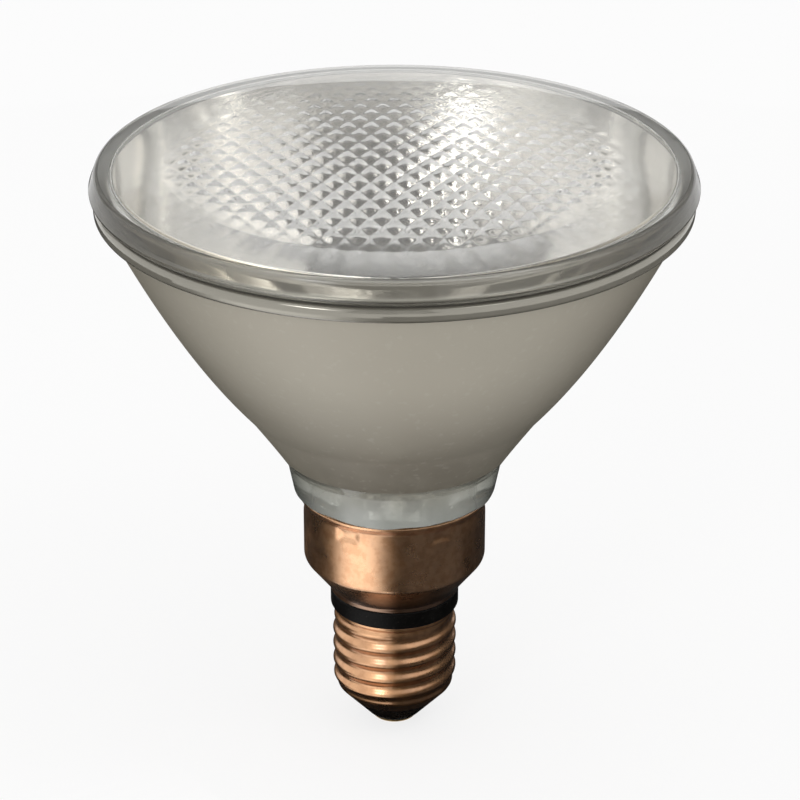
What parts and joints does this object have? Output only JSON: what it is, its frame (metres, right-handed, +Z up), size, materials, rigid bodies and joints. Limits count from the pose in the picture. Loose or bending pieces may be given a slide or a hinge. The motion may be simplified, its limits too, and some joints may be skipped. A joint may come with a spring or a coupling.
{
  "type": "par spotlight bulb",
  "caption": "Parabolic reflector lamp with a stippled domed lens, pressed-glass bowl, crimped metal skirt and an Edison screw base.",
  "frame": {"origin": "tip of the centre contact, on the lamp's axis", "axes": "+Z up the lamp's axis from the screw base to the lens; +X through the two lead pins"},
  "size_m": [0.1214, 0.1214, 0.1316],
  "materials": {
    "lens_glass": "clear pressed glass, smooth outside, stippled inside",
    "reflector_glass": "pressed glass, mirror coated inside, satin grey from behind",
    "sealant": "cured sealant",
    "quartz": "clear fused quartz",
    "tungsten": "drawn wire",
    "foil": "thin rolled foil",
    "nickel": "plain nickel",
    "copper_skirt": "copper-toned, bright drawn",
    "copper_shell": "copper-toned, rolled",
    "contact_brass": "plain brass",
    "solder": "soft solder",
    "black_ring": "black insulating ring",
    "black_glass": "black insulating glass",
    "copper_wire": "bare wire"
  },
  "bodies": {
    "root": {"lens": "lens_glass", "reflector": "reflector_glass", "rim_seal": "sealant", "capsule": "quartz", "filament": "tungsten", "foil_a": "foil", "foil_b": "foil", "lead_pin_a": "nickel", "lead_pin_b": "nickel", "ferrule_a": "nickel", "ferrule_b": "nickel", "skirt": "copper_skirt", "insulating_ring": "black_ring", "screw_shell": "copper_shell", "base_insulator": "black_glass", "centre_contact": "contact_brass", "contact_solder": "solder", "shell_solder": "solder", "centre_wire": "copper_wire", "shell_wire": "copper_wire"}
  },
  "joints": []
}
